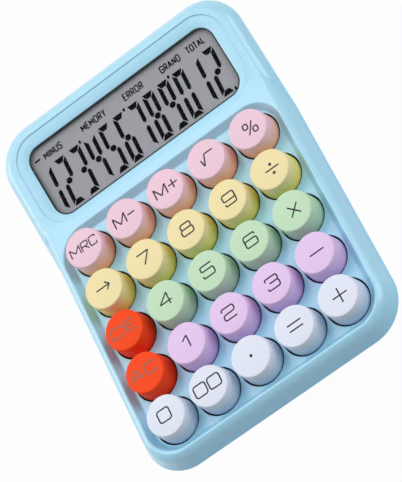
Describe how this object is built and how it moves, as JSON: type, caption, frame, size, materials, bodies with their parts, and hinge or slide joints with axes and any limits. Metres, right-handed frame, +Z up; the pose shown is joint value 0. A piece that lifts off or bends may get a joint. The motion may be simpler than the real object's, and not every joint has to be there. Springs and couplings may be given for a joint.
{
  "type": "desk calculator",
  "caption": "Pale blue desk calculator with a tilted display, tall round pastel keys in a sunken well, a two-part case and a sliding battery door underneath.",
  "frame": {"origin": "middle of the footprint on the table, under the rubber feet", "axes": "+Z up from the table, +Y from the front edge towards the display, +X to the right as the user sees it"},
  "size_m": [0.1156, 0.1592, 0.0268],
  "materials": {
    "case_blue": "pale blue moulded ABS, satin gloss",
    "key_pink": "pale pink moulded ABS, satin",
    "key_yellow": "pale yellow moulded ABS, satin",
    "key_green": "mint green moulded ABS, satin",
    "key_lilac": "lilac moulded ABS, satin",
    "key_white": "off-white moulded ABS, satin",
    "key_orange": "orange-red moulded ABS, satin",
    "clear_lens": "clear polished acrylic",
    "display_glass": "display glass with polariser",
    "display_grey": "grey reflector film",
    "black_foam": "black foam",
    "tray_white": "white moulded plastic",
    "steel": "zinc-plated steel",
    "foot_rubber": "pale grey rubber",
    "board_green": "green solder mask on glass laminate",
    "chip_black": "black potting resin",
    "can_aluminium": "drawn aluminium can",
    "silicone": "translucent white silicone",
    "ribbon_amber": "amber polyimide film",
    "cell_wrap": "plain printed shrink sleeve",
    "contact_plate": "nickel-plated spring steel",
    "lead_red": "red wire insulation",
    "lead_black": "black wire insulation"
  },
  "bodies": {
    "case": {"top_case": "case_blue", "bottom_case": "case_blue", "display_window": "clear_lens", "window_gasket": "black_foam", "dust_gasket": "black_foam", "lcd_front_glass": "display_glass", "lcd_rear_glass": "display_glass", "lcd_reflector": "display_grey", "lcd_frame": "tray_white", "case_screws": "steel", "rubber_feet": "foot_rubber", "main_board": "board_green", "controller_chip": "chip_black", "board_capacitor": "can_aluminium", "keypad_mat": "silicone", "display_ribbon": "ribbon_amber", "battery_cell": "cell_wrap", "positive_contact": "contact_plate", "negative_contact": "contact_plate", "battery_lead_positive": "lead_red", "battery_lead_negative": "lead_black"},
    "battery_door": {"battery_door": "case_blue"},
    "key_recall": {"key_recall": "key_pink"},
    "key_memory_minus": {"key_memory_minus": "key_pink"},
    "key_memory_plus": {"key_memory_plus": "key_pink"},
    "key_root": {"key_root": "key_pink"},
    "key_percent": {"key_percent": "key_pink"},
    "key_backspace": {"key_backspace": "key_yellow"},
    "key_7": {"key_7": "key_yellow"},
    "key_8": {"key_8": "key_yellow"},
    "key_9": {"key_9": "key_yellow"},
    "key_divide": {"key_divide": "key_yellow"},
    "key_clear_entry": {"key_clear_entry": "key_orange"},
    "key_4": {"key_4": "key_green"},
    "key_5": {"key_5": "key_green"},
    "key_6": {"key_6": "key_green"},
    "key_multiply": {"key_multiply": "key_green"},
    "key_all_clear": {"key_all_clear": "key_orange"},
    "key_1": {"key_1": "key_lilac"},
    "key_2": {"key_2": "key_lilac"},
    "key_3": {"key_3": "key_lilac"},
    "key_subtract": {"key_subtract": "key_lilac"},
    "key_0": {"key_0": "key_white"},
    "key_double_zero": {"key_double_zero": "key_white"},
    "key_point": {"key_point": "key_white"},
    "key_equals": {"key_equals": "key_white"},
    "key_add": {"key_add": "key_white"}
  },
  "joints": [
    {"name": "battery_door_slide", "type": "slide", "parent": "case", "child": "battery_door", "axis": [0, 1, 0], "range_m": [0, 0.0175]},
    {"name": "key_recall_press", "type": "slide", "parent": "case", "child": "key_recall", "axis": [0, 0, -1], "range_m": [0, 0.003], "stiffness_N_per_m": 200, "deforming": ["keypad_mat"]},
    {"name": "key_memory_minus_press", "type": "slide", "parent": "case", "child": "key_memory_minus", "axis": [0, 0, -1], "range_m": [0, 0.003], "stiffness_N_per_m": 200, "deforming": ["keypad_mat"]},
    {"name": "key_memory_plus_press", "type": "slide", "parent": "case", "child": "key_memory_plus", "axis": [0, 0, -1], "range_m": [0, 0.003], "stiffness_N_per_m": 200, "deforming": ["keypad_mat"]},
    {"name": "key_root_press", "type": "slide", "parent": "case", "child": "key_root", "axis": [0, 0, -1], "range_m": [0, 0.003], "stiffness_N_per_m": 200, "deforming": ["keypad_mat"]},
    {"name": "key_percent_press", "type": "slide", "parent": "case", "child": "key_percent", "axis": [0, 0, -1], "range_m": [0, 0.003], "stiffness_N_per_m": 200, "deforming": ["keypad_mat"]},
    {"name": "key_backspace_press", "type": "slide", "parent": "case", "child": "key_backspace", "axis": [0, 0, -1], "range_m": [0, 0.003], "stiffness_N_per_m": 200, "deforming": ["keypad_mat"]},
    {"name": "key_7_press", "type": "slide", "parent": "case", "child": "key_7", "axis": [0, 0, -1], "range_m": [0, 0.003], "stiffness_N_per_m": 200, "deforming": ["keypad_mat"]},
    {"name": "key_8_press", "type": "slide", "parent": "case", "child": "key_8", "axis": [0, 0, -1], "range_m": [0, 0.003], "stiffness_N_per_m": 200, "deforming": ["keypad_mat"]},
    {"name": "key_9_press", "type": "slide", "parent": "case", "child": "key_9", "axis": [0, 0, -1], "range_m": [0, 0.003], "stiffness_N_per_m": 200, "deforming": ["keypad_mat"]},
    {"name": "key_divide_press", "type": "slide", "parent": "case", "child": "key_divide", "axis": [0, 0, -1], "range_m": [0, 0.003], "stiffness_N_per_m": 200, "deforming": ["keypad_mat"]},
    {"name": "key_clear_entry_press", "type": "slide", "parent": "case", "child": "key_clear_entry", "axis": [0, 0, -1], "range_m": [0, 0.003], "stiffness_N_per_m": 200, "deforming": ["keypad_mat"]},
    {"name": "key_4_press", "type": "slide", "parent": "case", "child": "key_4", "axis": [0, 0, -1], "range_m": [0, 0.003], "stiffness_N_per_m": 200, "deforming": ["keypad_mat"]},
    {"name": "key_5_press", "type": "slide", "parent": "case", "child": "key_5", "axis": [0, 0, -1], "range_m": [0, 0.003], "stiffness_N_per_m": 200, "deforming": ["keypad_mat"]},
    {"name": "key_6_press", "type": "slide", "parent": "case", "child": "key_6", "axis": [0, 0, -1], "range_m": [0, 0.003], "stiffness_N_per_m": 200, "deforming": ["keypad_mat"]},
    {"name": "key_multiply_press", "type": "slide", "parent": "case", "child": "key_multiply", "axis": [0, 0, -1], "range_m": [0, 0.003], "stiffness_N_per_m": 200, "deforming": ["keypad_mat"]},
    {"name": "key_all_clear_press", "type": "slide", "parent": "case", "child": "key_all_clear", "axis": [0, 0, -1], "range_m": [0, 0.003], "stiffness_N_per_m": 200, "deforming": ["keypad_mat"]},
    {"name": "key_1_press", "type": "slide", "parent": "case", "child": "key_1", "axis": [0, 0, -1], "range_m": [0, 0.003], "stiffness_N_per_m": 200, "deforming": ["keypad_mat"]},
    {"name": "key_2_press", "type": "slide", "parent": "case", "child": "key_2", "axis": [0, 0, -1], "range_m": [0, 0.003], "stiffness_N_per_m": 200, "deforming": ["keypad_mat"]},
    {"name": "key_3_press", "type": "slide", "parent": "case", "child": "key_3", "axis": [0, 0, -1], "range_m": [0, 0.003], "stiffness_N_per_m": 200, "deforming": ["keypad_mat"]},
    {"name": "key_subtract_press", "type": "slide", "parent": "case", "child": "key_subtract", "axis": [0, 0, -1], "range_m": [0, 0.003], "stiffness_N_per_m": 200, "deforming": ["keypad_mat"]},
    {"name": "key_0_press", "type": "slide", "parent": "case", "child": "key_0", "axis": [0, 0, -1], "range_m": [0, 0.003], "stiffness_N_per_m": 200, "deforming": ["keypad_mat"]},
    {"name": "key_double_zero_press", "type": "slide", "parent": "case", "child": "key_double_zero", "axis": [0, 0, -1], "range_m": [0, 0.003], "stiffness_N_per_m": 200, "deforming": ["keypad_mat"]},
    {"name": "key_point_press", "type": "slide", "parent": "case", "child": "key_point", "axis": [0, 0, -1], "range_m": [0, 0.003], "stiffness_N_per_m": 200, "deforming": ["keypad_mat"]},
    {"name": "key_equals_press", "type": "slide", "parent": "case", "child": "key_equals", "axis": [0, 0, -1], "range_m": [0, 0.003], "stiffness_N_per_m": 200, "deforming": ["keypad_mat"]},
    {"name": "key_add_press", "type": "slide", "parent": "case", "child": "key_add", "axis": [0, 0, -1], "range_m": [0, 0.003], "stiffness_N_per_m": 200, "deforming": ["keypad_mat"]}
  ]
}
